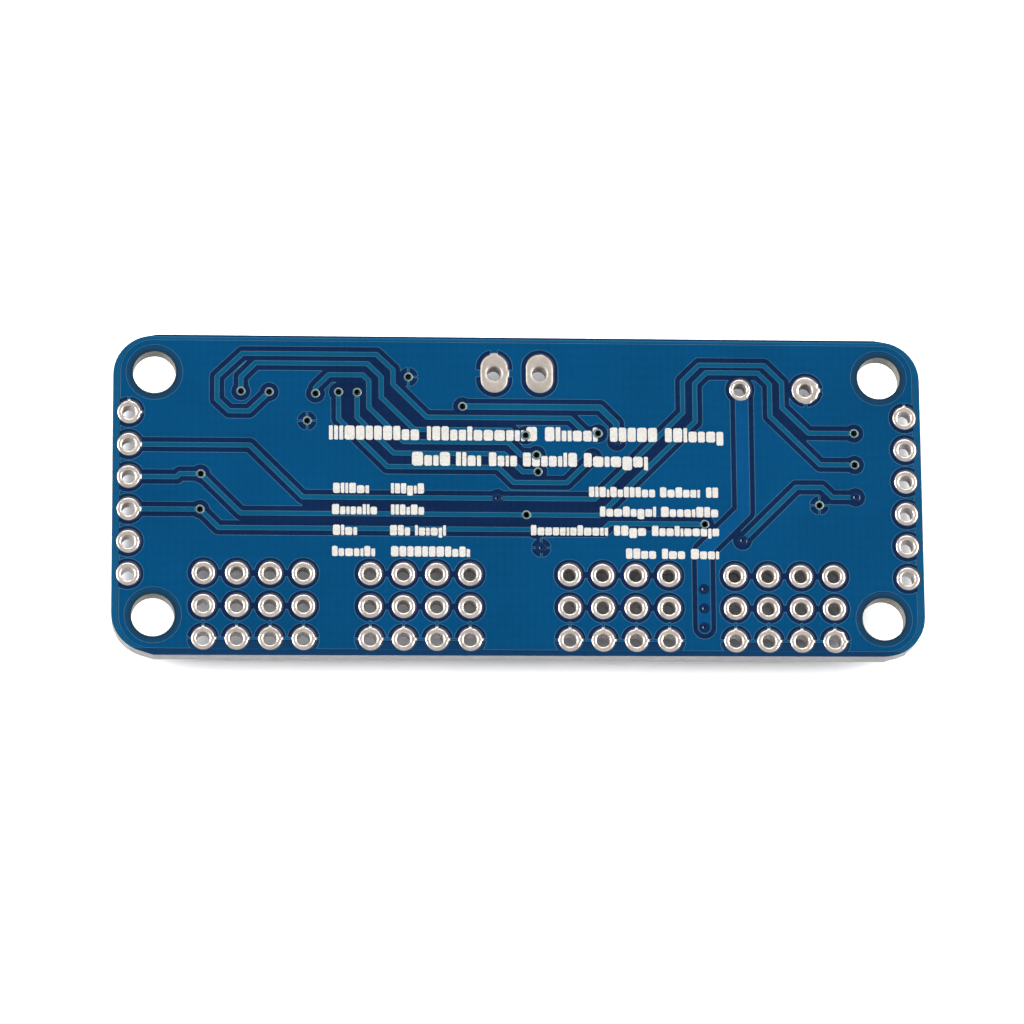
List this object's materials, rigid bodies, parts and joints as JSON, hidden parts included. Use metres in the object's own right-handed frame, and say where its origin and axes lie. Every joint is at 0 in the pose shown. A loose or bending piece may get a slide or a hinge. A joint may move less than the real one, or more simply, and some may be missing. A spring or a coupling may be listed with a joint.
{
  "type": "servo driver board",
  "caption": "Blue two-sided circuit board with open header rows, a two-way terminal footprint, corner mounting holes and surface-mounted driver parts underneath.",
  "frame": {"origin": "under the middle of the board, on the plane of the lowest surface-mounted part", "axes": "+Z out of the solder side, +X along the board towards the capacitor footprint, +Y across it towards the power terminal"},
  "size_m": [0.0622, 0.0254, 0.0041],
  "materials": {
    "glass_epoxy": "matt, woven",
    "copper": "bright foil",
    "blue_lacquer": "satin lacquer",
    "white_ink": "matt ink",
    "levelled_tin": "bright, slightly uneven",
    "moulding_compound": "fine matt",
    "plated_lead": "matt tin",
    "alumina": "matt",
    "part_terminals": "matt tin",
    "black_glaze": "glossy glaze",
    "capacitor_ceramic": "satin",
    "white_moulding": "matt",
    "clear_resin": "clear",
    "solder": "bright"
  },
  "bodies": {
    "root": {"laminate": "glass_epoxy", "ground_pour_solder_side": "copper", "signal_tracks_solder_side": "copper", "supply_trunk_solder_side": "copper", "ground_pour_component_side": "copper", "signal_tracks_component_side": "copper", "supply_bus_component_side": "copper", "supply_input_copper": "copper", "supply_output_copper": "copper", "solder_mask_solder_side": "blue_lacquer", "solder_mask_component_side": "blue_lacquer", "printed_marks_solder_side": "white_ink", "printed_marks_component_side": "white_ink", "servo_signal_pads": "levelled_tin", "servo_power_pads": "levelled_tin", "servo_ground_pads": "levelled_tin", "left_breakout_pads": "levelled_tin", "right_breakout_pads": "levelled_tin", "terminal_pads": "levelled_tin", "capacitor_pads": "levelled_tin", "open_vias": "levelled_tin", "tented_vias": "copper", "surface_pads": "levelled_tin", "pwm_chip_body": "moulding_compound", "transistor_body": "moulding_compound", "pwm_chip_leads": "plated_lead", "transistor_tab": "plated_lead", "transistor_leads": "plated_lead", "resistor_array_bodies": "alumina", "resistor_bodies": "alumina", "resistor_array_terminals": "part_terminals", "resistor_terminals": "part_terminals", "ceramic_capacitor_terminals": "part_terminals", "lamp_terminals": "part_terminals", "resistor_array_coats": "black_glaze", "resistor_coats": "black_glaze", "ceramic_capacitor_bodies": "capacitor_ceramic", "lamp_base": "white_moulding", "lamp_lens": "clear_resin", "solder_fillets": "solder"}
  },
  "joints": []
}
